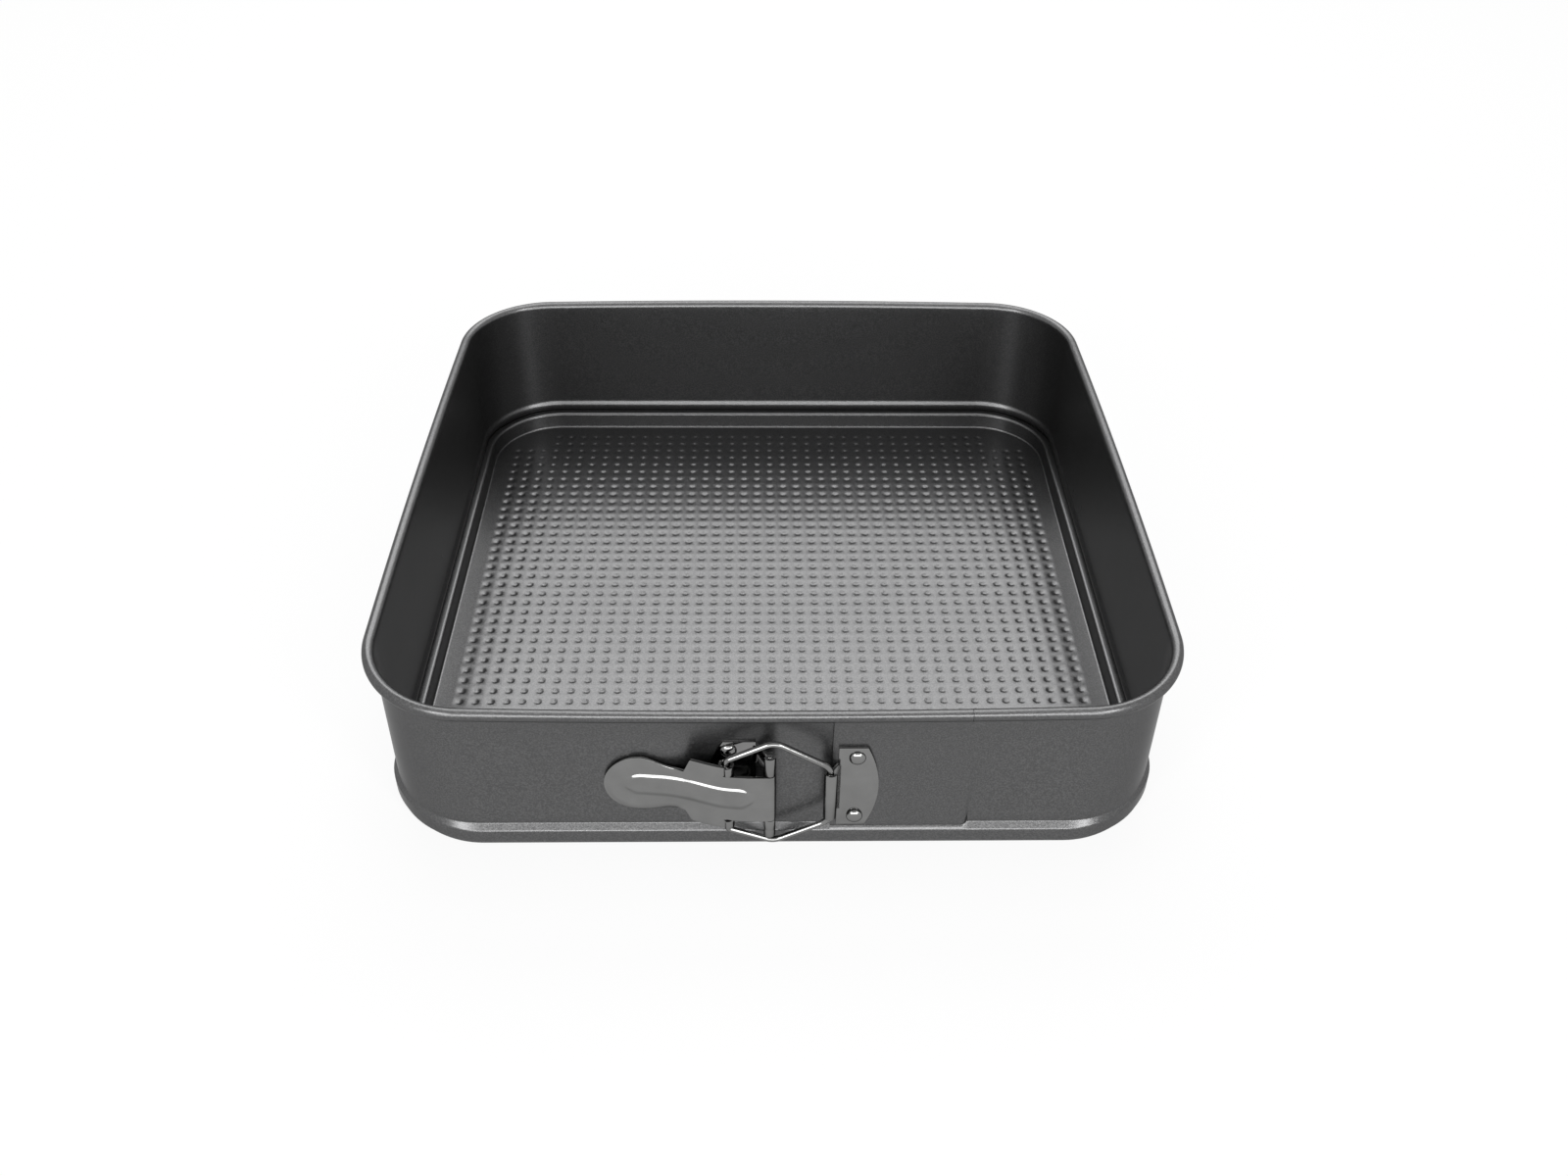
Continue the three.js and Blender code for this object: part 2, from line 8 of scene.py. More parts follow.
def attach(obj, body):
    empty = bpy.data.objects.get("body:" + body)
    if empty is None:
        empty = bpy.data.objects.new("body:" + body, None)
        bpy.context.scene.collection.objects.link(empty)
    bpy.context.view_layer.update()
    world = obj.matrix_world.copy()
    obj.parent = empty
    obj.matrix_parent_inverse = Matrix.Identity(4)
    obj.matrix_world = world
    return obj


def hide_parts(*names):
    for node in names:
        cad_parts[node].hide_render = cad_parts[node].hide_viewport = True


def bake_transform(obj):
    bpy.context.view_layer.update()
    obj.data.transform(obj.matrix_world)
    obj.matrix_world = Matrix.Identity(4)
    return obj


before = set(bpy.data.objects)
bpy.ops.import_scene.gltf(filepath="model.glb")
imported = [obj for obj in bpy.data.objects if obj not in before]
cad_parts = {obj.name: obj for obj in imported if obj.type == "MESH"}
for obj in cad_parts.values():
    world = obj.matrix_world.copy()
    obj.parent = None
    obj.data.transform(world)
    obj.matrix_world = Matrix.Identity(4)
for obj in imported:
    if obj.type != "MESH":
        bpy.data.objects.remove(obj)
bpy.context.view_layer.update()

# Viewpoint: a hand-held height above the table, a little left of the clasp, looking down into the pan.
# The lens takes in the whole pan with a pale margin on every side.
camera_place = Vector((-0.00505, -0.41734, 0.33821))
camera_pitch, camera_yaw, camera_roll = 0.6765, 0.0236, -0.0136
lens_in_film_widths, film_width, nearest_shown = 0.9039875, 36, 0.01

look = Vector((math.sin(camera_yaw) * math.cos(camera_pitch),
               math.cos(camera_yaw) * math.cos(camera_pitch),
               -math.sin(camera_pitch)))
level = Vector((math.cos(camera_yaw), -math.sin(camera_yaw), 0))
drop = look.cross(level)
across = level * math.cos(camera_roll) + drop * math.sin(camera_roll)
down = drop * math.cos(camera_roll) - level * math.sin(camera_roll)
camera_data = bpy.data.cameras.new("viewpoint")
camera_data.sensor_width = film_width
camera_data.lens = film_width * lens_in_film_widths
camera_data.clip_start = nearest_shown
camera = bpy.data.objects.new("viewpoint", camera_data)
camera.matrix_world = (Matrix.Translation(camera_place)
                       @ Matrix((across, -down, -look)).transposed().to_4x4())
bpy.context.scene.collection.objects.link(camera)
bpy.context.scene.camera = camera
bpy.context.scene.view_settings.view_transform = "Standard"


# Table and light: a pale table top that fades into a white room, broad soft lights behind and above
# the pan, a low one in front of it and a small one to each side of the viewer.
class Shade:
    """A socket in a shader's node tree. Arithmetic on it adds Math nodes."""

    def __init__(self, tree, socket=None):
        self.tree, self.socket = tree, socket

    def node(self, kind, settings=None, inputs=None, output=0):
        made = self.tree.nodes.new("ShaderNode" + kind)
        for name, value in (settings or {}).items():
            if name == "stops":
                ramp = made.color_ramp.elements
                while len(ramp) < len(value):
                    ramp.new(1.0)
                for element, (place, grey) in zip(ramp, value):
                    element.position, element.color = place, (grey, grey, grey, 1)
            else:
                setattr(made, name, value)
        for name, value in (inputs or {}).items():
            if isinstance(value, Shade):
                self.tree.links.new(value.socket, made.inputs[name])
            else:
                made.inputs[name].default_value = value
        return Shade(self.tree, made.outputs[output] if len(made.outputs) else None)

    def between(self, share, first, second):
        """A colour between two."""
        return self.node("Mix", {"data_type": "RGBA"}, {0: share, 6: first, 7: second}, output=2)

    def math(self, operation, first, second):
        return self.node("Math", {"operation": operation}, {0: first, 1: second})

    def __add__(self, other):
        return self.math("ADD", self, other)

    def __mul__(self, other):
        return self.math("MULTIPLY", self, other)

    __radd__ = __add__
    __rmul__ = __mul__


def blank_material(name):
    material = bpy.data.materials.new(name)
    material.use_nodes = True
    material.node_tree.nodes.clear()
    return material, Shade(material.node_tree)


def put_in_scene(placed):
    bpy.context.scene.collection.objects.link(placed)
    return placed


def seen_directly(shade):
    """1 for the camera and in reflections, so that both show the same white room."""
    camera_rays = shade.node("LightPath", output="Is Camera Ray")
    glossy_rays = shade.node("LightPath", output="Is Glossy Ray")
    clear_rays = shade.node("LightPath", output="Is Transmission Ray")
    return shade.math("MINIMUM", camera_rays + glossy_rays + clear_rays, 1.0)


table_colour, room_colour = (0.86, 0.86, 0.86, 1), (1, 1, 1, 1)
table_fade, room_shown, room_light = 0.9, 1.0, 0.15
table_reach, table_level = 6.0, -0.0004

table_material, shade = blank_material("table_top")
plain = shade.node("BsdfDiffuse", inputs={"Color": table_colour})
glow = shade.node("Emission", inputs={"Color": room_colour, "Strength": room_shown})
seen = shade.node("MixShader", inputs={0: seen_directly(shade) * table_fade, 1: plain, 2: glow})
shade.node("OutputMaterial", inputs={"Surface": seen})
table_mesh = bpy.data.meshes.new("table_top")
table_corners = [(x * table_reach, y * table_reach, table_level)
                 for x, y in ((-1, -1), (1, -1), (1, 1), (-1, 1))]
table_mesh.from_pydata(table_corners, [], [(0, 1, 2, 3)])
table_mesh.materials.append(table_material)
put_in_scene(bpy.data.objects.new("table_top", table_mesh))

room = bpy.data.worlds.new("room")
bpy.context.scene.world = room
room.use_nodes = True
room.node_tree.nodes.clear()
shade = Shade(room.node_tree)
lighting = shade.node("Background", inputs={"Color": room_colour, "Strength": room_light})
white = shade.node("Background", inputs={"Color": room_colour, "Strength": room_shown})
shown = shade.node("MixShader", inputs={0: seen_directly(shade), 1: lighting, 2: white})
shade.node("OutputWorld", inputs={"Surface": shown})


def soft_light(name, place, target, width, height, power):
    lamp = bpy.data.lights.new(name, "AREA")
    lamp.shape, lamp.size, lamp.size_y, lamp.energy = "RECTANGLE", width, height, power
    holder = put_in_scene(bpy.data.objects.new(name, lamp))
    turn = (Vector(target) - Vector(place)).to_track_quat("-Z", "Y").to_matrix().to_4x4()
    holder.matrix_world = Matrix.Translation(place) @ turn


soft_light("light_behind", place=(0, 0.96, 1.05), target=(0, 0, 0), width=1.6, height=0.72, power=13.5)
soft_light("light_above", place=(0, 0.16, 1.4), target=(0, 0, 0), width=0.8, height=0.65, power=6)
soft_light("light_front", place=(0, -1.6, 0.36), target=(0, 0, 0.02), width=1.8, height=0.6, power=21)
for name, side in (("light_left", -1), ("light_right", 1)):
    soft_light(name, place=(side * 0.85, -1.15, 0.75), target=(0, 0, 0.02), width=0.3, height=0.7, power=8)


# Side band: one strip of thin steel with a dark non-stick coat, bent into a rounded square and lapped at
# the front. The rim is rolled outward, the foot is pressed out into a groove for the base and hemmed.
MM = 0.001  # the pan's own sizes are in millimetres and degrees
band_height, band_sheet = 58.5, 0.6
wall_middle, corner_centre = 120.9, 90.1
curl_radius, curl_drop, curl_end = 1.6, 1.2, -140
bead_out, bead_shoulder, bead_bend, bead_slant = 1.8, 8.0, 0.9, 42
corner_tuck = 0.6
ridge_in, ridge_top, ridge_crest, ridge_foot = 0.85, 12.3, 9.7, 8.1
ridge_margin, ridge_steepness, ridge_steps = 0.4, 1.6, 16
foot_turn, foot_hem = 0.9, 4.2
lap_outer_end, lap_inner_end, lap_tuck = 17.0, 56.4, 1.0
lap_step, lap_face, lap_shoulder, lap_butt = 1.1, 5.4, 8.6, 0.14
crease_depth, crease_place, crease_spread = 0.28, 0.5, 0.12
joggle, joggle_flat, joggle_steps = 9.0, 1.0, 14
foot_joggle_start = 0.86
leaf_overlap, inner_leaf_sheet, outer_leaf_sheet = 0.8, 0.96 * band_sheet, 0.998 * band_sheet
left_bow, right_bow, back_bow, bow_start = 0.85, 0.92, 1.65, 11.6
lean_start, lean_gap, corner_lean, front_lean, lean_power = 42.0, 2.6, 1.6, 3.1, 1.4
back_split, split_margin = 60.0, 1.0
bend_steps, curl_steps, corner_steps, wall_steps, front_steps, lean_steps = 6, 26, 28, 24, 16, 4
smooth_below = 38


def arc(centre_x, centre_y, radius, start, end, steps):
    turns = [math.radians(start + (end - start) * step / steps) for step in range(steps + 1)]
    return [(centre_x + radius * math.cos(turn), centre_y + radius * math.sin(turn)) for turn in turns]


def sheet_outline(middle, thickness, mitre_limit=0.5):
    """The closed outline of a bent sheet, from the line through its middle."""
    points = [Vector(point) for point in middle]
    sides = ([], [])
    for index, point in enumerate(points):
        before = (point - points[index - 1]).normalized() if index else None
        after = (points[index + 1] - point).normalized() if index + 1 < len(points) else None
        along = ((before or after) + (after or before)).normalized()
        spread = thickness / 2 / max(along.dot(before or after), mitre_limit)
        normal = Vector((-along.y, along.x)) * spread
        sides[0].append(point + normal)
        sides[1].append(point - normal)
    return sides[0] + sides[1][::-1]


def skin_into(bm, rings):
    """Joins each ring of vertices to the next with faces."""
    for ring, following in zip(rings, rings[1:]):
        for side in range(len(ring)):
            other = (side + 1) % len(ring)
            bm.faces.new((ring[side], ring[other], following[other], following[side]))


def sweep_into(bm, stations):
    """Adds the closed skin of a row of sections; a section is a list of points in millimetres."""
    rings = [[bm.verts.new(Vector(point) * MM) for point in section] for section in stations]
    skin_into(bm, rings)
    bm.faces.new(rings[0][::-1])
    bm.faces.new(rings[-1])


def finished_mesh(name, bm, material):
    """A smooth-shaded piece, with its faces turned outward."""
    if bm.calc_volume(signed=True) < 0:
        bmesh.ops.reverse_faces(bm, faces=bm.faces)
    mesh = bpy.data.meshes.new(name)
    bm.to_mesh(mesh)
    bm.free()
    mesh.materials.append(material)
    mesh.shade_smooth()
    mesh.set_sharp_from_angle(angle=math.radians(smooth_below))
    return put_in_scene(bpy.data.objects.new(name, mesh))


def coated_steel():
    """Dark grey satin non-stick coat: fine pale flecks over a faintly clouded ground."""
    ground, fleck = (0.087, 0.087, 0.088, 1), (0.134, 0.134, 0.135, 1)
    satin, cloud_roughness, fleck_roughness = 0.26, 0.05, 0.08
    material, shade = blank_material("coated_steel")
    place = shade.node("TexCoord", output="Object")
    grain = shade.node("TexNoise", inputs={
        "Vector": place, "Scale": 2100.0, "Detail": 2.0, "Roughness": 0.6})
    cloud = shade.node("TexNoise", inputs={"Vector": place, "Scale": 38.0, "Detail": 3.0})
    flecks = shade.node("ValToRGB", {"stops": [(0.40, 0.0), (0.72, 1.0)]}, {"Fac": grain})
    bumps = shade.node("Bump", inputs={"Strength": 0.10, "Distance": 0.00006, "Height": grain})
    skin = shade.node("BsdfPrincipled", inputs={
        "Base Color": shade.between(flecks, ground, fleck),
        "Roughness": satin + cloud_roughness * cloud + fleck_roughness * flecks,
        "Metallic": 0.93, "Specular Tint": (0.55, 0.55, 0.55, 1), "Normal": bumps})
    shade.node("OutputMaterial", inputs={"Surface": skin})
    return material


coat = coated_steel()


def soft_step(share):
    share = min(max(share, 0.0), 1.0)
    return share * share * (3 - 2 * share)


def foot_line(lapped, swell=1.0):
    """From the turned-up hem round the bead to the wall's foot; the lap's outer leaf has a small crease."""
    hem_turn, half = band_sheet, band_sheet / 2
    line = [(-half, foot_hem)]
    line += arc(hem_turn - half, half + hem_turn, hem_turn, 180, 270, bend_steps)
    line += arc(bead_out * swell - foot_turn, half + foot_turn, foot_turn, 270, 360, bend_steps + 2)
    slant = math.radians(bead_slant)
    run = (bead_out - 2 * bead_bend * (1 - math.cos(slant))) / math.tan(slant)
    bead_face = bead_shoulder - 2 * bead_bend * math.sin(slant) - run
    slope = arc(bead_out - bead_bend, bead_face, bead_bend, 0, bead_slant, bend_steps)
    slope += arc(bead_bend, bead_shoulder, bead_bend, 180 + bead_slant, 180, bend_steps)
    slope = [(x * swell, z) for x, z in slope]
    ridge_span = ridge_top + ridge_margin - ridge_foot
    slope += [(0, ridge_foot + ridge_span * step / ridge_steps) for step in range(ridge_steps + 1)]
    if not lapped:
        return line + slope
    for share in (step / (len(slope) - 1) for step in range(len(slope))):
        crease = crease_depth * math.exp(-((share - crease_place) / crease_spread) ** 2)
        line.append((bead_out + (lap_step - bead_out) * soft_step(2 * share) - crease,
                     lap_face + (lap_shoulder - lap_face) * share))
    return line


rim_top = band_height - band_sheet / 2
rim_line = [(x, rim_top - curl_drop * (rim_top - z))
            for x, z in arc(curl_radius, rim_top - curl_radius, curl_radius, 180, curl_end, curl_steps)]
under_rim = band_height - 2 * curl_drop * curl_radius - band_sheet
lean_span = under_rim - lean_gap - lean_start
lean_levels = [lean_start + lean_span * step / lean_steps for step in range(lean_steps + 1)]


def whole_section(share, swell=1.0):
    """The band's section, share of the way from the plain wall to the lap's outer leaf."""
    lapped = soft_step((share - foot_joggle_start) / (1 - foot_joggle_start))
    foot = [tuple(Vector(single).lerp(Vector(leaf), lapped))
            for single, leaf in zip(foot_line(False, swell), foot_line(True))]
    wall = [(lap_step * share, z) for z in lean_levels] + [(0, under_rim)]
    outline = sheet_outline(foot + wall + rim_line, band_sheet)
    for point in outline[len(foot) - ridge_steps - 1:len(foot)]:
        ridge = soft_step((ridge_top - point.y) / (ridge_top - ridge_crest))
        ridge *= soft_step((point.y - ridge_foot) / (ridge_crest - ridge_foot) * ridge_steepness)
        point.x -= ridge_in * ridge * (1 - lapped)
    return outline


def front_lean_at(x, z):
    """How far the front wall leans out near the rim; most in the middle, less at the corners."""
    rise = max((z - lean_start) / (band_height - lean_start), 0)
    middle = max(1 - (x / corner_centre) ** 2, 0)
    return (corner_lean + (front_lean - corner_lean) * middle) * rise ** lean_power


def front_section(x, outline):
    return [(x, -wall_middle - out - front_lean_at(x, z), z) for out, z in outline]


def front_run(start, end, outline, steps=front_steps // 2):
    return [front_section(start + (end - start) * step / steps, outline) for step in range(steps + 1)]


def corner_sections(sign_x, sign_y, start):
    """Sections round a corner, where the foot bead is shallower."""
    reach = wall_middle - corner_centre
    sections = []
    for turn_x, turn_y in arc(0, 0, 1, start, start - 90, corner_steps):
        outline = whole_section(0, 1 - corner_tuck * (2 * turn_x * turn_y) ** 2)
        front = max(-turn_y, 0) ** 2
        sections.append([(sign_x * corner_centre + (reach + out) * turn_x,
                          sign_y * corner_centre + (reach + out) * turn_y
                          - front * front_lean_at(corner_centre, z), z) for out, z in outline])
    return sections


def wall_sections(out_x, out_y, bow, places, outline):
    """Sections of a wall that is sprung outward; places run along it from its middle, clockwise."""
    sections = []
    for place in places:
        swell = bow * (1 - (place / corner_centre) ** 2)
        section = []
        for out, z in outline:
            rise = min(max((z - bow_start) / (band_height - bow_start), 0), 1)
            reach = wall_middle + out + swell * rise
            section.append((out_x * reach + out_y * place, out_y * reach - out_x * place, z))
        sections.append(section)
    return sections


wall_section = whole_section(0)
along_wall = [corner_centre * (2 * step / wall_steps - 1) for step in range(1, wall_steps)]
back_left = [place for place in along_wall if place < back_split - split_margin] + [back_split]
back_right = [back_split] + [place for place in along_wall if place > back_split + split_margin]
left_run = front_run(lap_outer_end, -corner_centre, wall_section, front_steps)[:-1]
left_run += corner_sections(-1, -1, 270) + wall_sections(-1, 0, left_bow, along_wall, wall_section)
left_run += corner_sections(-1, 1, 180) + wall_sections(0, 1, back_bow, back_left, wall_section)
inner_line = [(0, z) for z in [bow_start + band_sheet] + lean_levels] + rim_line
inner_leaf = sheet_outline(inner_line, inner_leaf_sheet)
bm = bmesh.new()
sweep_into(bm, left_run)
sweep_into(bm, front_run(lap_outer_end - lap_tuck, lap_inner_end, inner_leaf))
band_left = finished_mesh("side_band_left", bm, coat)
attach(band_left, "band")
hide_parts("side_band")

right_run = wall_sections(0, 1, back_bow, back_right, wall_section) + corner_sections(1, 1, 90)
right_run += wall_sections(1, 0, right_bow, along_wall, wall_section) + corner_sections(1, -1, 360)
lap_start = lap_inner_end + lap_butt
joggle_end = lap_start + joggle_flat
right_run += front_run(corner_centre, joggle_end + joggle, wall_section)[1:-1]
for share in (step / joggle_steps for step in range(joggle_steps + 1)):
    right_run.append(front_section(joggle_end + joggle * (1 - share), whole_section(soft_step(share))))
right_run.append(front_section(lap_start, whole_section(1)))
outer_line = foot_line(True) + [(lap_step, z) for z in lean_levels + [under_rim - band_sheet]]
outer_leaf = sheet_outline(outer_line, outer_leaf_sheet)
bm = bmesh.new()
sweep_into(bm, right_run)
sweep_into(bm, front_run(lap_start + leaf_overlap, lap_outer_end, outer_leaf))
band_right = finished_mesh("side_band_right", bm, coat)
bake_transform(band_right)
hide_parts("side_band")


# Base: a loose tray of the same coated steel. A steep step carries a flange with its edge rolled under,
# which lies in the band's foot groove; the floor is pressed all over with small round dimples in a grid.
base_sheet = 0.6
floor_half, floor_bend, step_angle = 116.2, 1.0, 85
flange_middle, flange_turn_x, flange_turn = 6.9, 118.5, 0.9
roll_x, roll_radius, roll_end, roll_steps = 120.65, 0.95, -170, 14
dimple_pitch, dimple_count = 5.4, 41
dimple_radius, dimple_depth = 1.7, 0.38
dimple_profile = ((1.0, 0.0), (0.82, 0.18), (0.5, 0.7), (0.25, 0.93))
bare_corner = (94.5, 100.0)  # the corner tiles beyond both of these are left flat
weld_gap, base_smooth_below = 0.01, 50

rise_start = arc(floor_half, base_sheet / 2 + floor_bend, floor_bend, -90, step_angle - 90, bend_steps)
rise_end = arc(flange_turn_x, flange_middle - flange_turn, flange_turn, step_angle + 90, 90, bend_steps)
edge_roll = arc(roll_x, flange_middle - roll_radius, roll_radius, 90, roll_end, roll_steps)
tray_outline = sheet_outline(rise_start + rise_end + edge_roll, base_sheet)
quarters = ((1, 1), (-1, 1), (-1, -1), (1, -1))


def tray_ring(half, z):
    """A ring round the tray; the flange is drawn in at the corners, as the band's groove is."""
    radius = half - corner_centre
    tuck = corner_tuck * bead_out * soft_step((half - flange_turn_x) / (roll_x - flange_turn_x))
    ring = []
    for quarter, (sign_x, sign_y) in enumerate(quarters):
        for turn_x, turn_y in arc(0, 0, 1, 90 * quarter, 90 * quarter + 90, corner_steps):
            reach = radius - tuck * (2 * turn_x * turn_y) ** 2
            ring.append((sign_x * corner_centre + reach * turn_x,
                         sign_y * corner_centre + reach * turn_y, z))
    return ring


bm = bmesh.new()
rings = [[bm.verts.new(Vector(point) * MM) for point in tray_ring(half, z)] for half, z in tray_outline]
skin_into(bm, rings)
top_ring, under_ring = rings[0], rings[-1]
bm.faces.new(under_ring[::-1])
field_half = dimple_pitch * dimple_count / 2
corners = [bm.verts.new(Vector((x * field_half, y * field_half, base_sheet)) * MM) for x, y in quarters]
for quarter, corner in enumerate(corners):
    first = quarter * (corner_steps + 1)
    last = first + corner_steps
    for step in range(first, last):
        bm.faces.new((corner, top_ring[step], top_ring[step + 1]))
    bm.faces.new((corner, top_ring[last], top_ring[(last + 1) % len(top_ring)], corners[(quarter + 1) % 4]))
bmesh.ops.recalc_face_normals(bm, faces=bm.faces)
lowest = min(bm.faces, key=lambda face: face.calc_center_median().z)
if lowest.normal.z > 0:
    bmesh.ops.reverse_faces(bm, faces=bm.faces)
base_mesh = bpy.data.meshes.new("base_plate")
bm.to_mesh(base_mesh)
bm.free()
base = put_in_scene(bpy.data.objects.new("base_plate", base_mesh))


def floor_tile(name, rings):
    """One square of the floor; rings are the dimple's (radius, depth) from its lip to near its middle."""
    bm = bmesh.new()
    third, half = dimple_pitch / 6, dimple_pitch / 2
    edge = [(half, -third), (half, third), (half, half), (third, half), (-third, half), (-half, half),
            (-half, third), (-half, -third), (-half, -half), (-third, -half), (third, -half), (half, -half)]
    turns = [math.atan2(y, x) for x, y in edge]
    loops = [[bm.verts.new((x * MM, y * MM, 0)) for x, y in edge]]
    for radius, depth in rings:
        loops.append([bm.verts.new(Vector((radius * math.cos(turn), radius * math.sin(turn), -depth)) * MM)
                      for turn in turns])
    skin_into(bm, loops)
    inmost = loops[-1]
    if rings:
        bottom = bm.verts.new((0, 0, -dimple_depth * MM))
        for side in range(len(inmost)):
            bm.faces.new((inmost[side], inmost[(side + 1) % len(inmost)], bottom))
    else:
        bm.faces.new(inmost)
    mesh = bpy.data.meshes.new(name)
    bm.to_mesh(mesh)
    bm.free()
    return put_in_scene(bpy.data.objects.new(name, mesh))


dimple_tile = floor_tile("dimple_tile", [(dimple_radius * share, dimple_depth * depth)
                                         for share, depth in dimple_profile])
plain_tile = floor_tile("plain_tile", [])


class Tree:
    """A Geometry Nodes tree with named inputs."""

    def __init__(self, name, inputs):
        self.tree = bpy.data.node_groups.new(name, "GeometryNodeTree")
        self.tree.interface.new_socket("Geometry", in_out="INPUT", socket_type="NodeSocketGeometry")
        self.tree.interface.new_socket("Geometry", in_out="OUTPUT", socket_type="NodeSocketGeometry")
        self.keys = {}
        for label, kind in inputs.items():
            socket = self.tree.interface.new_socket(label, in_out="INPUT", socket_type=kind)
            self.keys[label] = socket.identifier
        self.given = self.tree.nodes.new("NodeGroupInput")
        self.result = self.tree.nodes.new("NodeGroupOutput")

    def node(self, kind, settings=None, inputs=None, output=0):
        made = self.tree.nodes.new(kind)
        for name, value in (settings or {}).items():
            setattr(made, name, value)
        for name, value in (inputs or {}).items():
            for link in value if isinstance(value, list) else [value]:
                if isinstance(link, bpy.types.NodeSocket):
                    self.tree.links.new(link, made.inputs[name])
                else:
                    made.inputs[name].default_value = link
        return made.outputs[output]

    def copies(self, piece, points, **chosen):
        """Copies of a piece, one on each of the points."""
        shape = self.node("GeometryNodeObjectInfo", inputs={"Object": piece}, output="Geometry")
        links = {"Points": points, "Instance": shape, **chosen}
        return self.node("GeometryNodeInstanceOnPoints", inputs=links)

    def finish(self, geometry):
        self.tree.links.new(geometry, self.result.inputs[0])

    def make(self, piece, values):
        """Runs the tree on a piece and leaves its result as a plain mesh."""
        modifier = piece.modifiers.new(self.tree.name, "NODES")
        modifier.node_group = self.tree
        for label, value in values.items():
            modifier[self.keys[label]] = value
        shown = piece.evaluated_get(bpy.context.evaluated_depsgraph_get())
        mesh = bpy.data.meshes.new_from_object(shown)
        piece.modifiers.remove(modifier)
        piece.data = mesh
        mesh.name = piece.name


floor = Tree("dimpled_floor", {
    "Pitch": "NodeSocketFloat", "Count": "NodeSocketInt", "Bare Corner": "NodeSocketVector",
    "Level": "NodeSocketFloat", "Dimple": "NodeSocketObject", "Plain": "NodeSocketObject",
    "Finish": "NodeSocketMaterial"})
given = floor.given.outputs
span = floor.node("ShaderNodeMath", {"operation": "MULTIPLY"}, {
    0: given["Pitch"],
    1: floor.node("ShaderNodeMath", {"operation": "SUBTRACT"}, {0: given["Count"], 1: 1.0})})
grid = floor.node("GeometryNodeMeshGrid", inputs={
    "Size X": span, "Size Y": span, "Vertices X": given["Count"], "Vertices Y": given["Count"]})
lift = floor.node("ShaderNodeCombineXYZ", inputs={"Z": given["Level"]})
grid = floor.node("GeometryNodeTransform", inputs={"Geometry": grid, "Translation": lift})
folded = floor.node("ShaderNodeVectorMath", {"operation": "ABSOLUTE"},
                    {0: floor.node("GeometryNodeInputPosition")})
place = floor.node("ShaderNodeSeparateXYZ", inputs={"Vector": folded}).node.outputs
limit = floor.node("ShaderNodeSeparateXYZ", inputs={"Vector": given["Bare Corner"]}).node.outputs
within = [floor.node("FunctionNodeCompare", {"data_type": "FLOAT", "operation": "LESS_EQUAL"},
                     {"A": place[axis], "B": limit[axis]}) for axis in "XY"]
inside = floor.node("FunctionNodeBooleanMath", {"operation": "OR"}, {0: within[0], 1: within[1]})
outside = floor.node("FunctionNodeBooleanMath", {"operation": "NOT"}, {0: inside})
pressed = floor.copies(given["Dimple"], grid, Selection=inside)
left_flat = floor.copies(given["Plain"], grid, Selection=outside)
sheet = floor.node("GeometryNodeJoinGeometry", inputs={"Geometry": [given["Geometry"], pressed, left_flat]})
sheet = floor.node("GeometryNodeRealizeInstances", inputs={"Geometry": sheet})
sheet = floor.node("GeometryNodeMergeByDistance", inputs={"Geometry": sheet, "Distance": weld_gap * MM})
floor.finish(floor.node("GeometryNodeSetMaterial", inputs={"Geometry": sheet, "Material": given["Finish"]}))
floor.make(base, {
    "Pitch": dimple_pitch * MM, "Count": dimple_count, "Level": base_sheet * MM,
    "Bare Corner": (bare_corner[0] * MM, bare_corner[1] * MM, 0),
    "Dimple": dimple_tile, "Plain": plain_tile, "Finish": coat})
for tile in (dimple_tile, plain_tile):
    bpy.data.objects.remove(tile)
base.data.shade_smooth()
base.data.set_sharp_from_angle(angle=math.radians(base_smooth_below))
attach(base, "base")
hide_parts("base_plate")


# Hinge plate: a flat nickel-plated stamping, riveted to the left-hand end of the band. The two ears at its
# right edge are rolled round the hinge pin, above and below the lever's own roll.
def plated_steel():
    """Bright nickel with a faint haze, for every piece of the clasp."""
    dark, pale = (0.175, 0.175, 0.173, 1), (0.235, 0.235, 0.233, 1)
    polish, haze_roughness = 0.08, 0.09
    material, shade = blank_material("plated_steel")
    place = shade.node("TexCoord", output="Object")
    haze = shade.node("TexNoise", inputs={"Vector": place, "Scale": 160.0, "Detail": 4.0})
    scuff = shade.node("TexNoise", inputs={"Vector": place, "Scale": 1400.0, "Detail": 2.0})
    bumps = shade.node("Bump", inputs={"Strength": 0.05, "Distance": 0.00004, "Height": scuff})
    skin = shade.node("BsdfPrincipled", inputs={
        "Base Color": shade.between(haze, dark, pale), "Roughness": polish + haze_roughness * haze,
        "Metallic": 1.0, "Specular Tint": (0.3, 0.3, 0.3, 1), "Normal": bumps})
    shade.node("OutputMaterial", inputs={"Surface": skin})
    return material


nickel = plated_steel()
wall_face = -wall_middle - band_sheet / 2
clasp_height, clasp_sheet, plate_gap = 25.3, 0.8, 0.1
edge_break, sharp_above = 0.14, 40
pivot_x, pivot_y = -1.6, wall_face - 5.4
pin_radius, pin_clearance = 0.9, 0.1
tongue_half, knuckle_gap, knuckle_length = 9.3, 0.3, 7.0
hinge_end, hinge_width, hinge_bulge = -5.8, 9.6, 4.6
hinge_low, hinge_high = 11.6, clasp_height + 17.9
hinge_back = wall_face - plate_gap
leaf_root, leaf_kick = 0.2, 0.8
lower_roll_sheet, lower_roll_gap = 0.99 * clasp_sheet, 0.1


def upright_into(bm, middle, thickness, low, high):
    """A bent strip that stands upright, from its plan line."""
    outline = sheet_outline(middle, thickness)
    sweep_into(bm, [[(x, y, z) for x, y in outline] for z in (low, high)])


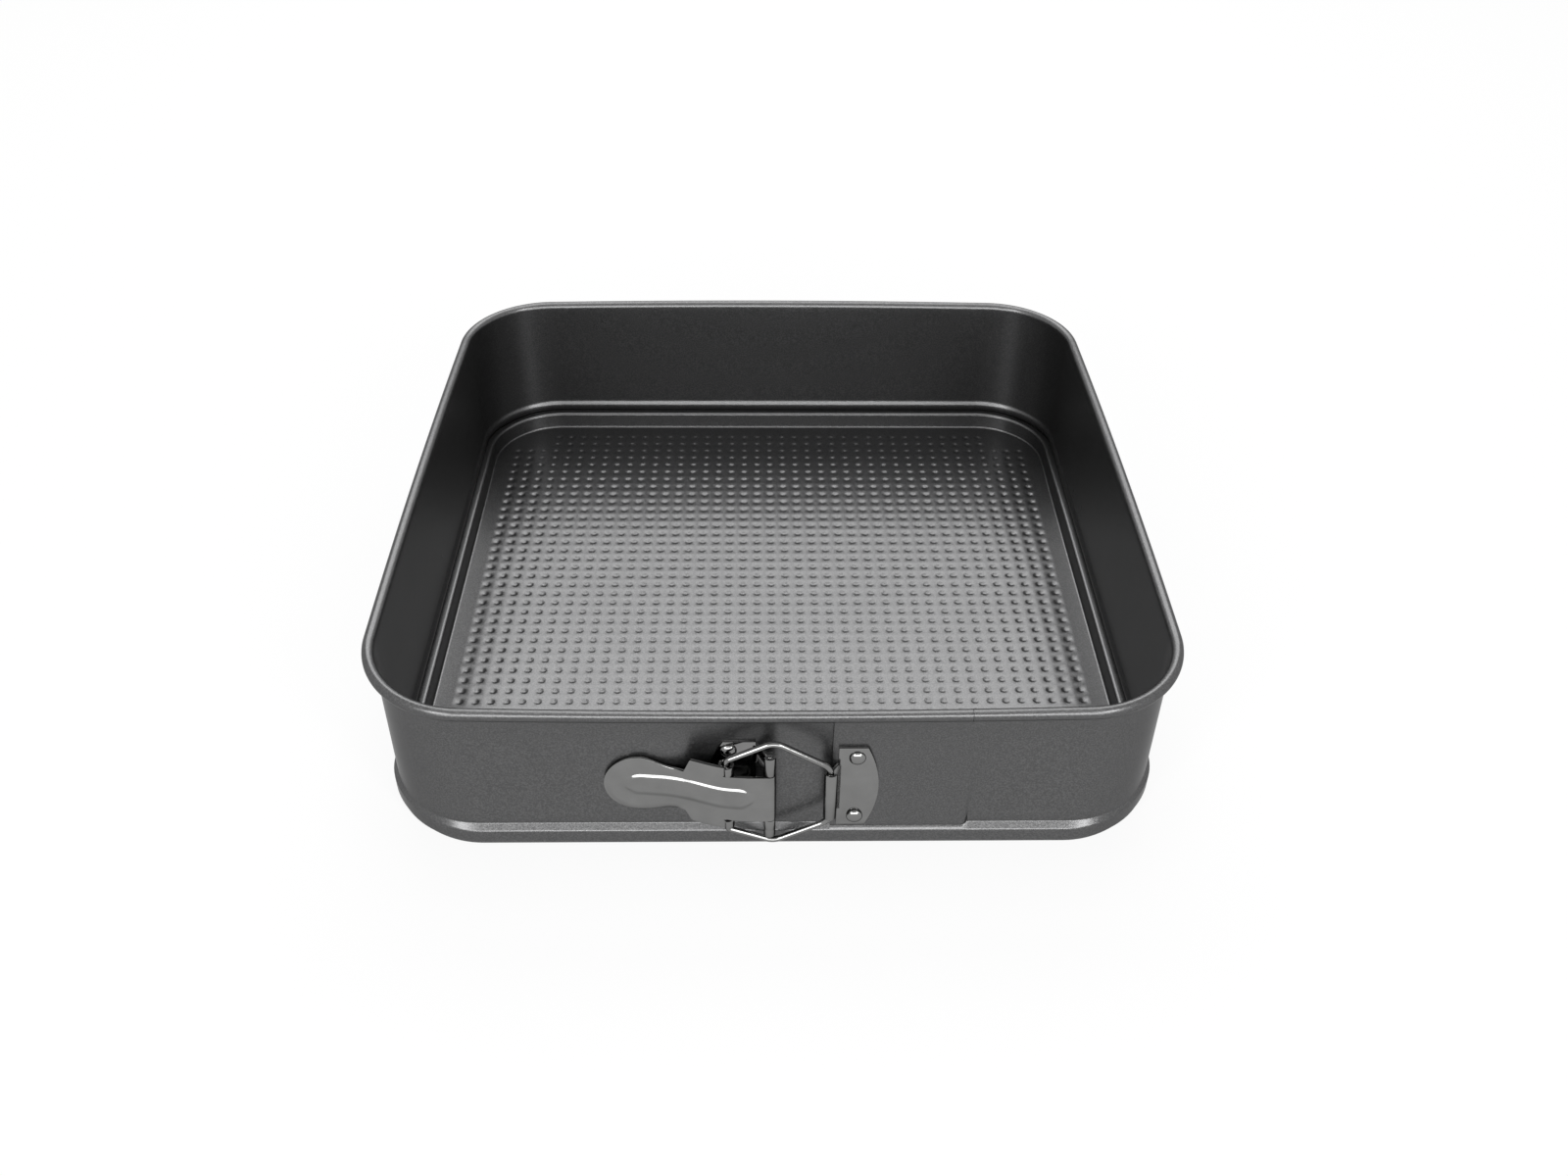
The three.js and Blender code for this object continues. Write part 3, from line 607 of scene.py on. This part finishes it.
def plate_into(bm, outline, back, thickness):
    """A flat plate against the front wall, from its outline in x and z."""
    sweep_into(bm, [[(x, y, z) for x, z in outline] for y in (back, back - thickness)])


def arched_edge(x, bulge, start, end, steps):
    """A plate's bulging upright edge, from one height to another."""
    return [(x + bulge * (1 - (1 - 2 * share) ** 2), start + (end - start) * share)
            for share in (step / steps for step in range(steps + 1))]


def soften(bm, width):
    """Breaks the sharp edges, as tumbling does to a stamping."""
    bm.normal_update()
    edges = [edge for edge in bm.edges
             if len(edge.link_faces) == 2 and edge.calc_face_angle() > math.radians(sharp_above)]
    bmesh.ops.bevel(bm, geom=edges, offset=width * MM, segments=2, profile=0.5, affect="EDGES",
                    clamp_overlap=True)


knuckle_radius = pin_radius + pin_clearance + clasp_sheet / 2
knuckle_reach = tongue_half + knuckle_gap
upper_root, lower_root = clasp_height + knuckle_reach, clasp_height - knuckle_reach
hinge_outline = [(hinge_end, hinge_low), (hinge_end, hinge_high)]
hinge_outline += arched_edge(hinge_end - hinge_width, -hinge_bulge, hinge_high, hinge_low, steps=16)
hinge_roll = arc(pivot_x, pivot_y, knuckle_radius, start=125, end=-165, steps=24)
leaf_y = hinge_back - clasp_sheet / 2
hinge_leaf = [(hinge_end - clasp_sheet, leaf_y), (hinge_end + leaf_root, leaf_y),
              (hinge_end + leaf_kick, hinge_back - clasp_sheet)] + hinge_roll
bm = bmesh.new()
plate_into(bm, hinge_outline, hinge_back, clasp_sheet)
upright_into(bm, hinge_leaf, clasp_sheet, upper_root, upper_root + knuckle_length)
upright_into(bm, hinge_leaf, clasp_sheet, hinge_low, lower_root)
upright_into(bm, hinge_roll, lower_roll_sheet, lower_root - knuckle_length, lower_root - lower_roll_gap)
bmesh.ops.recalc_face_normals(bm, faces=bm.faces)
soften(bm, edge_break)
hinge_plate = finished_mesh("hinge_plate", bm, nickel)
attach(hinge_plate, "band")
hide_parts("hinge_plate")


# Hinge pin: a plain nickel-plated steel pin with lightly rounded ends. The hinge plate's two rolls hold it,
# and the lever turns on it.
pin_overhang, pin_round, pin_sides = 0.2, 0.2, 32


def turned_into(bm, profile, sides):
    """A turned piece along Z, from its (radius, height) profile between two points on the axis."""
    rings = [[bm.verts.new(Vector((radius * math.cos(turn), radius * math.sin(turn), height)) * MM)
              for turn in (2 * math.pi * side / sides for side in range(sides))]
             for radius, height in profile[1:-1]]
    ends = [bm.verts.new(Vector((0, 0, profile[index][1])) * MM) for index in (0, -1)]
    for side in range(sides):
        other = (side + 1) % sides
        bm.faces.new((rings[0][other], rings[0][side], ends[0]))
        bm.faces.new((rings[-1][side], rings[-1][other], ends[1]))
    skin_into(bm, rings)


pin_end = knuckle_reach + knuckle_length + pin_overhang
lower_round = arc(pin_radius - pin_round, pin_round - pin_end, pin_round, start=-90, end=0, steps=4)
upper_round = arc(pin_radius - pin_round, pin_end - pin_round, pin_round, start=0, end=90, steps=4)
bm = bmesh.new()
turned_into(bm, [(0, -pin_end)] + lower_round + upper_round + [(0, pin_end)], pin_sides)
bmesh.ops.translate(bm, verts=bm.verts, vec=Vector((pivot_x, pivot_y, clasp_height)) * MM)
hinge_pin = finished_mesh("hinge_pin", bm, nickel)
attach(hinge_pin, "band")
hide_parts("hinge_pin")


# Clasp lever: one nickel-plated stamping. A round thumb paddle lies near the wall, and a long raised rib
# stiffens the arm. Two ears are curled into eyes for the bail, and the tongue is rolled round the hinge pin.
lever_sheet, lever_edge_break, lever_sharp_above = 0.9, 0.16, 50
lever_knuckle = pin_radius + pin_clearance + lever_sheet / 2
tongue_y, tongue_margin = pivot_y - lever_knuckle, 0.2
eye_x, eye_bore, ear_length = -14.4, 1.35, 3.3
eye_radius = eye_bore + lever_sheet / 2
eye_y = tongue_y + eye_radius
ear_half = knuckle_reach + ear_length
ear_start, ear_ramp, ear_margin, slot_depth = -25.0, 2.0, 0.4, 0.9
neck_x, neck_half, neck_low = -30.0, 7.6, 8.9
paddle_x, paddle_radius, paddle_tip, paddle_gap = -40.3, 10.9, 0.3, 0.8
paddle_y = wall_face - paddle_gap - lever_sheet / 2
slope_start, slope_length = -8.0, 32.0
sway_start, sway_length, sway_share = -14.0, 20.0, 0.5
paddle_lift, lift_start, lift_length = 0.9, -12.0, 14.0
rib_start, rib_end, rib_half, rib_flat, rib_height = -6.2, -45.2, 4.7, 3.5, 0.6
flank_softness, flank_span = 1.7, 2.5
rolled_edge, rolled_from, rolled_fade = 0.45, 0.8, 3.0
column_pitch, ear_pitch, tongue_pitch = 0.31, 1.1, 0.55
paddle_pitch, paddle_rows, paddle_inset = 0.31, 32, 0.01
neck_pitch, neck_rows, tongue_rows = 0.3, 50, 25


def lever_half(x, low):
    """Half the lever's width at x, above or below its middle line; the neck is wider below."""
    neck = neck_low if low else neck_half
    if x <= paddle_x:
        return math.sqrt(max(paddle_radius ** 2 - (x - paddle_x) ** 2, paddle_tip ** 2))
    if x <= neck_x:
        return paddle_radius + (neck - paddle_radius) * soft_step((x - paddle_x) / (neck_x - paddle_x))
    if x <= ear_start - ear_ramp:
        return neck
    return neck + (ear_half - neck) * min((x - ear_start + ear_ramp) / ear_ramp, 1)


def lever_point(x, across):
    """A point of the lever's middle surface; across runs from the clasp's middle line."""
    slope = min(max((slope_start - x) / slope_length, 0), 1)
    back = sway_share * soft_step((sway_start - x) / sway_length) + (1 - sway_share) * slope
    up = paddle_lift * soft_step((lift_start - x) / lift_length)
    spine = min(max(x, rib_end + rib_half), rib_start - rib_half)
    apart = math.hypot(x - spine, across)
    flat = rib_flat - flank_softness * soft_step(-across / flank_span)
    raised = rib_height * soft_step((rib_half - apart) / (rib_half - flat))
    if x < paddle_x:
        reach = math.hypot(x - paddle_x, across) / paddle_radius
    else:
        reach = abs(across) / lever_half(x, across < 0)
    rolled = rolled_edge * soft_step((reach - rolled_from) / (1 - rolled_from))
    rolled *= soft_step((ear_start - ear_ramp - x) / rolled_fade)
    return (x, tongue_y + (paddle_y - tongue_y) * back - raised + rolled, clasp_height + up + across)


def strip_into(bm, row, following):
    """Joins two open rows of vertices with faces."""
    for side in range(len(row) - 1):
        bm.faces.new((row[side], row[side + 1], following[side + 1], following[side]))


ear_columns = [knuckle_reach, ear_half - 2 * ear_pitch, ear_half - ear_pitch, ear_half]
column_count = round(2 * tongue_half / column_pitch)
columns = [-column for column in ear_columns[::-1]] + [-tongue_half]
columns += [-tongue_half + column_pitch * step for step in range(1, column_count)]
columns += [tongue_half] + ear_columns
slot_x = eye_x - slot_depth
rows = [x for x, _ in arc(paddle_x, 0, paddle_radius - paddle_inset, start=180, end=90, steps=20)]
rows += [paddle_x + paddle_pitch * step for step in range(1, paddle_rows)]
rows += [neck_x + neck_pitch * step for step in range(neck_rows)]
rows = sorted(set(round(x, 4) for x in rows if x < slot_x)) + [slot_x]
bm = bmesh.new()
arm = []
for x in rows:
    arm.append([bm.verts.new(Vector(lever_point(x, column * lever_half(x, column < 0) / ear_half)) * MM)
                for column in columns])
for row, following in zip(arm, arm[1:]):
    strip_into(bm, row, following)
tongue_path = [slot_x + tongue_pitch * step for step in range(1, tongue_rows)]
tongue_path = [x for x in tongue_path if x < pivot_x - tongue_margin]
tongue_curl = arc(pivot_x, pivot_y, lever_knuckle, start=-90, end=165, steps=24)
ear_path = [eye_x - ear_margin]
ear_curl = arc(eye_x, eye_y, eye_radius, start=-90, end=200, steps=26)
ear_count, all_count = len(ear_columns), len(columns)
for first, end, flat, curl in ((ear_count, all_count - ear_count, tongue_path, tongue_curl),
                               (0, ear_count, ear_path, ear_curl),
                               (all_count - ear_count, all_count, ear_path, ear_curl)):
    row = arm[-1][first:end]
    for x, y in [(x, None) for x in flat] + curl:
        following = []
        for column in columns[first:end]:
            point = lever_point(x, column)
            if y is not None:
                point = (x, y, lever_point(min(x, lift_start), column)[2])
            following.append(bm.verts.new(Vector(point) * MM))
        strip_into(bm, row, following)
        row = following
bmesh.ops.recalc_face_normals(bm, faces=bm.faces)
lever_mesh = bpy.data.meshes.new("clasp_lever")
bm.to_mesh(lever_mesh)
bm.free()
lever_mesh.materials.append(nickel)
lever = put_in_scene(bpy.data.objects.new("clasp_lever", lever_mesh))
thick = lever.modifiers.new("thickness", "SOLIDIFY")
thick.thickness, thick.offset, thick.use_even_offset = lever_sheet * MM, 0, True
edges = lever.modifiers.new("broken_edges", "BEVEL")
edges.width, edges.segments = lever_edge_break * MM, 2
edges.limit_method, edges.angle_limit = "ANGLE", math.radians(lever_sharp_above)
solid = bpy.data.meshes.new_from_object(lever.evaluated_get(bpy.context.evaluated_depsgraph_get()))
lever.modifiers.clear()
lever.data = solid
solid.name = "clasp_lever"
solid.shade_smooth()
solid.set_sharp_from_angle(angle=math.radians(smooth_below))
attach(lever, "lever")
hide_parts("clasp_lever")


# Wire bail: one bent nickel-plated wire. Its far leg turns in the keeper's roll, its two sides are cranked
# outward, and its ends turn down into the eyes of the lever's ears.
wire_radius = 0.95
keeper_x, keeper_roll_half = 16.5, 9.4
wide_x, wide_half, wide_rise, wide_bend = -0.3, 21.1, 0.8, 3.0
tip_reach, ear_reach, ear_bend = knuckle_reach + 0.5, ear_half + 1.75, 1.2
keeper_reach = keeper_roll_half + 2 * wire_radius
bail_corners = [
    (eye_x, tip_reach, 0), (eye_x, ear_reach, ear_bend), (wide_x, wide_rise + wide_half, wide_bend),
    (keeper_x, keeper_reach, wide_bend), (keeper_x, -keeper_reach, wide_bend),
    (wide_x, wide_rise - wide_half, wide_bend), (eye_x, -ear_reach, ear_bend), (eye_x, -tip_reach, 0)]


def rounded_path(corners, steps=8):
    """A polyline whose corners are rounded by the given trims."""
    path = [Vector(corners[0][:2])]
    for before, (x, z, trim), after in zip(corners, corners[1:], corners[2:]):
        corner = Vector((x, z))
        start = corner + (Vector(before[:2]) - corner).normalized() * trim
        end = corner + (Vector(after[:2]) - corner).normalized() * trim
        for share in (step / steps for step in range(steps + 1)):
            path.append(start.lerp(corner, share).lerp(corner.lerp(end, share), share))
    return path + [Vector(corners[-1][:2])]


def wire_into(bm, path, radius, level, sides=20):
    """A round wire along a path in the plane y = level."""
    stations = []
    for index, point in enumerate(path):
        along = (path[min(index + 1, len(path) - 1)] - path[max(index - 1, 0)]).normalized()
        normal = Vector((-along.y, along.x))
        stations.append([(point.x + normal.x * radius * math.cos(turn), level + radius * math.sin(turn),
                          point.y + normal.y * radius * math.cos(turn))
                         for turn in (2 * math.pi * side / sides for side in range(sides))])
    sweep_into(bm, stations)


bm = bmesh.new()
bail_path = [Vector((point.x, point.y + clasp_height)) for point in rounded_path(bail_corners)]
wire_into(bm, bail_path, wire_radius, eye_y)
bail = finished_mesh("wire_bail", bm, nickel)
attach(bail, "bail")
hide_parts("wire_bail")


# Keeper plate: a nickel-plated stamping riveted to the outer leaf of the lap. Its right edge is an arc, and
# the middle of its left edge is rolled round the bail's far leg.
keeper_flat, keeper_width, keeper_bulge, keeper_half = 18.8, 8.6, 3.7, 16.3
keeper_back, wire_clearance = wall_face - lap_step - plate_gap, 0.25
keeper_low, keeper_high = clasp_height - keeper_half, clasp_height + keeper_half
keeper_radius = wire_radius + wire_clearance + clasp_sheet / 2
keeper_outline = [(keeper_flat, keeper_high), (keeper_flat, keeper_low)]
keeper_outline += arched_edge(keeper_flat + keeper_width, keeper_bulge, keeper_low, keeper_high, steps=20)
leaf_y = keeper_back - clasp_sheet / 2
keeper_leaf = [(keeper_flat + clasp_sheet, leaf_y), (keeper_flat - leaf_root, leaf_y)]
keeper_leaf += arc(keeper_x, eye_y, keeper_radius, start=62, end=340, steps=26)
bm = bmesh.new()
plate_into(bm, keeper_outline, keeper_back, clasp_sheet)
upright_into(bm, keeper_leaf, clasp_sheet, clasp_height - keeper_roll_half, clasp_height + keeper_roll_half)
bmesh.ops.recalc_face_normals(bm, faces=bm.faces)
soften(bm, edge_break)
keeper = finished_mesh("keeper_plate", bm, nickel)
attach(keeper, "band_end")
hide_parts("keeper_plate")


# Rivets: nickel-plated steel, two through the hinge plate and two through the keeper. Each has a low domed
# head outside and a thin upset tail on the inside of the band.
shank, head_radius, head_high, head_lip, head_undercut = 1.4, 2.5, 1.3, 0.12, 0.05
tail_radius, tail_high, tail_edge = 2.2, 0.4, 0.12
rivet_gap, rivet_sides, dome_steps = 0.1, 28, 10
hinge_rivet_x, hinge_rivet_inset = hinge_end - 8.0, 3.3
keeper_rivet_x, keeper_rivet_reach = keeper_flat + 5.5, 12.5

rivets = Tree("rivet_pair", {"First": "NodeSocketVector", "Second": "NodeSocketVector",
                             "Rivet": "NodeSocketObject", "Finish": "NodeSocketMaterial"})
given = rivets.given.outputs
# With end points set, the node's Offset is the place of the line's far end.
ends = rivets.node("GeometryNodeMeshLine", {"mode": "END_POINTS"}, {
    "Count": 2, "Start Location": given["First"], "Offset": given["Second"]})
pair = rivets.copies(given["Rivet"], ends)
pair = rivets.node("GeometryNodeRealizeInstances", inputs={"Geometry": pair})
rivets.finish(rivets.node("GeometryNodeSetMaterial", inputs={"Geometry": pair, "Material": given["Finish"]}))

head, tail = clasp_sheet + rivet_gap, -plate_gap - band_sheet - rivet_gap
tail_end = tail - tail_high
rivet_profile = [(0, tail_end), (tail_radius - tail_edge, tail_end), (tail_radius, tail_end + tail_edge),
                 (tail_radius, tail), (shank, tail), (shank, head), (head_radius - head_undercut, head)]
rivet_profile += [(head_radius * math.cos(turn), head + head_lip + (head_high - head_lip) * math.sin(turn))
                  for turn in (math.pi / 2 * step / dome_steps for step in range(dome_steps))]
rivet_profile += [(0, head + head_high)]
for name, body, back, x, upper, lower in (
        ("hinge_rivets", "band", hinge_back, hinge_rivet_x,
         hinge_high - hinge_rivet_inset, hinge_low + hinge_rivet_inset),
        ("keeper_rivets", "band_end", keeper_back, keeper_rivet_x,
         clasp_height + keeper_rivet_reach, clasp_height - keeper_rivet_reach)):
    bm = bmesh.new()
    turned_into(bm, rivet_profile, rivet_sides)
    bmesh.ops.rotate(bm, verts=bm.verts, cent=(0, 0, 0), matrix=Matrix.Rotation(math.pi / 2, 3, "X"))
    one = finished_mesh("one_rivet", bm, nickel)
    both = put_in_scene(bpy.data.objects.new(name, bpy.data.meshes.new(name)))
    rivets.make(both, {"First": (x * MM, back * MM, upper * MM), "Second": (x * MM, back * MM, lower * MM),
                       "Rivet": one, "Finish": nickel})
    bpy.data.objects.remove(one)
    both.data.shade_smooth()
    both.data.set_sharp_from_angle(angle=math.radians(smooth_below))
    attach(both, body)
    for place in ("upper", "lower"):
        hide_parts(name[:-1] + "_" + place)
